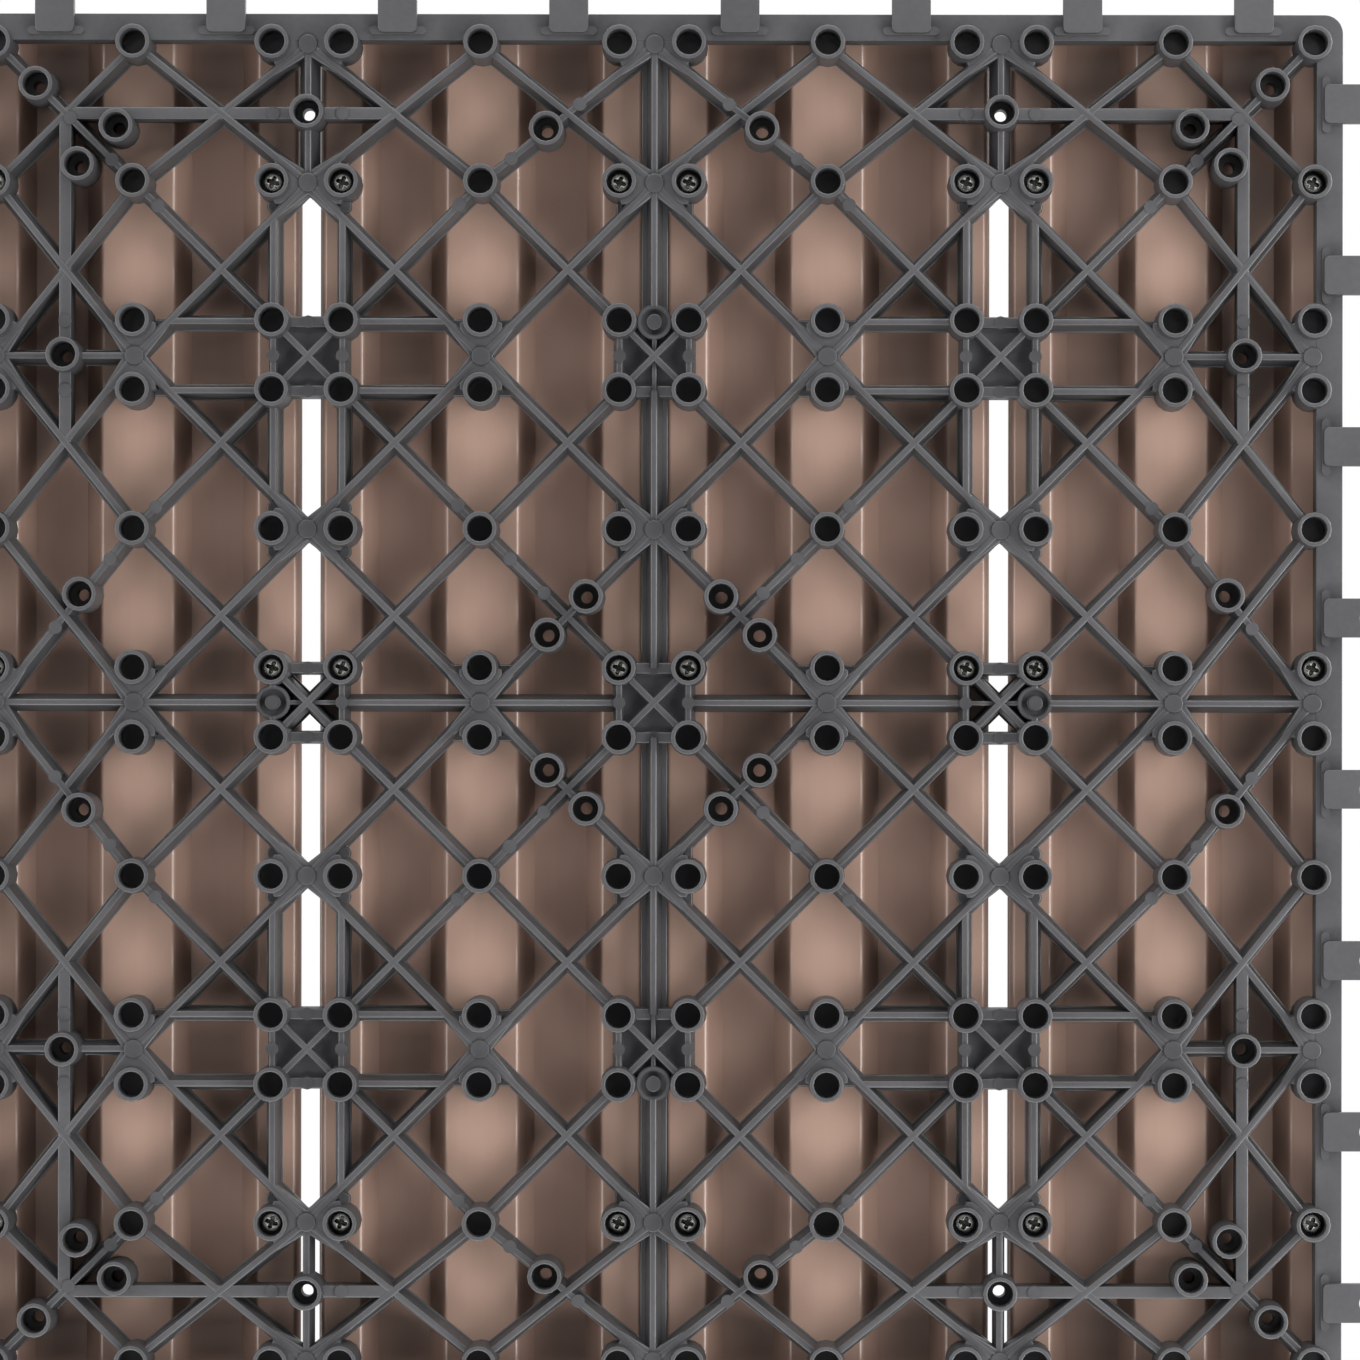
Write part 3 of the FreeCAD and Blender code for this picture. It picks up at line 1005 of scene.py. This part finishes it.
for turn in (0, 90):
    wing = block(
        "wing",
        (-recess_reach, -recess_width / 2, head_z - recess_depth),
        (recess_reach, recess_width / 2, head_z + recess_depth),
    )
    round_corners(wing, recess_corner, segments=2, test=lambda place: True)
    edit(wing)
    pick(wing, "faces", upward)
    bpy.ops.transform.resize(value=recess_taper)
    close_edit()
    wing.rotation_euler.z = math.radians(turn + recess_turn)
    cut(head, wing)
    discard(wing)
soften(head, head_edge)
shank = post("shank", shank_radius, bore_depth - shank_start, seat_z + shank_grip, shank_sides)
screw = join("screw", [head, shank])
screws = join("screws", copies(screw, [at(x, y) for x, y in screw_places]))
discard(screw)
steel = Shader(bpy.data.materials.new("screw_steel"))
scuffs = steel.noise(steel.place(), scale=1500, detail=4)
# Below the face of the dome the head is painted near black: painted shade in the cross recess.
recess_shade = steel.ramp(steel.height(), head_z + shade_start, head_z + shade_end)
bright = steel.mix(scuffs, steel_dark, steel_light)
screw_steel = steel.surface(
    {
        "Base Color": steel.mix(recess_shade, bright, recess_shade_color),
        "Metallic": 1.0,
        "Roughness": scuffs * scuff_roughness + steel_roughness,
    }
)
dress(screws, screw_steel, "slat_screws")

# Floor: pale ground under the tile, there from above only, so that the camera sees the underside.
# In the views from above it takes the tile's shadow.
floor_size = 6
floor_drop = 0.05 * mm
floor_color = (0.86, 0.86, 0.86, 1)
bpy.ops.mesh.primitive_plane_add(size=floor_size, location=(0, 0, -floor_drop))
floor = settle(bpy.context.active_object, "floor")
ground = Shader(bpy.data.materials.new("floor_paint"))
from_above = 1 - ground.add("ShaderNodeNewGeometry", output="Backfacing")
seen = ground.add("ShaderNodeLightPath", output="Is Camera Ray")
matt = ground.add("ShaderNodeBsdfDiffuse", {}, {"Color": floor_color})
clear = ground.add("ShaderNodeBsdfTransparent")
shown = ground.add("ShaderNodeMixShader", {}, {0: from_above * seen, 1: clear, 2: matt})
ground.add("ShaderNodeOutputMaterial", {}, {"Surface": shown})
floor.data.materials.append(ground.owner)

# Card: a dark disc behind the camera, like the unlit end of a studio. It shows only in reflections,
# and keeps the bores and the level faces dark.
card_radius = 0.5
card_z = -1.7
card_left = 0.06
card_sides = 32
card_color = (0.02, 0.02, 0.02, 1)
bpy.ops.mesh.primitive_circle_add(
    vertices=card_sides,
    radius=card_radius,
    fill_type="NGON",
    location=(middle.x - card_left, middle.y, card_z),
)
card = settle(bpy.context.active_object, "card")
paper = Shader(bpy.data.materials.new("card_paper"))
seen = paper.add("ShaderNodeLightPath", output="Is Glossy Ray")
matt = paper.add("ShaderNodeBsdfDiffuse", {}, {"Color": card_color})
clear = paper.add("ShaderNodeBsdfTransparent")
shown = paper.add("ShaderNodeMixShader", {}, {0: seen, 1: clear, 2: matt})
paper.add("ShaderNodeOutputMaterial", {}, {"Surface": shown})
card.data.materials.append(paper.owner)

# Studio: white backdrop for the camera and in reflections, soft boxes on all four sides of the
# underside, the strongest at the right, and two lamps over the deck.
fill_strength = 0.1
backdrop_color = (1, 1, 1, 1)
studio = Shader(bpy.data.worlds.new("studio"))
bpy.context.scene.world = studio.owner
seen = (
    studio.add("ShaderNodeLightPath", output="Is Camera Ray")
    + studio.add("ShaderNodeLightPath", output="Is Glossy Ray")
    + studio.add("ShaderNodeLightPath", output="Is Transmission Ray")
)
dim = studio.add("ShaderNodeBackground", {}, {"Color": backdrop_color, "Strength": fill_strength})
white = studio.add("ShaderNodeBackground", {}, {"Color": backdrop_color, "Strength": 1.0})
shown = studio.add("ShaderNodeMixShader", {}, {0: seen, 1: dim, 2: white})
studio.add("ShaderNodeOutputWorld", {}, {"Surface": shown})


def lamp(name, place, width, height, power):
    """A soft box that faces the tile, its width level."""
    data = bpy.data.lights.new(name, "AREA")
    data.shape = "RECTANGLE"
    data.size = width
    data.size_y = height
    data.energy = power
    box = bpy.data.objects.new(name, data)
    box.location = middle + Vector(place)
    box.rotation_euler = (-Vector(place)).to_track_quat("-Z", "Y").to_euler()
    bpy.context.collection.objects.link(box)


lamp("under_right", (0.74, 0.07, -0.68), width=1.1, height=0.4, power=8.4)
lamp("under_left", (-1.08, 0.0, -0.95), width=1.5, height=0.5, power=6.5)
lamp("under_front", (0.0, -1.08, -0.95), width=1.5, height=0.5, power=8.5)
lamp("under_back", (0.0, 1.08, -0.95), width=1.5, height=0.5, power=11.5)
lamp("over_right", (1.0, -0.7, 1.4), width=0.9, height=0.9, power=16)
lamp("over_left", (-1.1, 0.4, 1.3), width=0.9, height=0.9, power=8)

# Camera: square on to the underside, 1.3 m below the tile, a little off its middle. The lens is a
# long one, shifted so that the tile fills the picture.
camera_distance = 1.3
camera_right = 25.2 * mm
camera_back = 15.6 * mm
camera_roll = -0.0014
data = bpy.data.cameras.new("camera")
data.sensor_width = 36
data.lens = 159.65
data.shift_x = -0.0662
data.shift_y = 0.0699
data.clip_end = 10
camera = bpy.data.objects.new("camera", data)
camera.location = (middle.x + camera_right, middle.y + camera_back, -camera_distance)
camera.rotation_euler = (math.pi, 0, camera_roll)
bpy.context.collection.objects.link(camera)
bpy.context.scene.camera = camera
bpy.context.scene.view_settings.view_transform = "Standard"
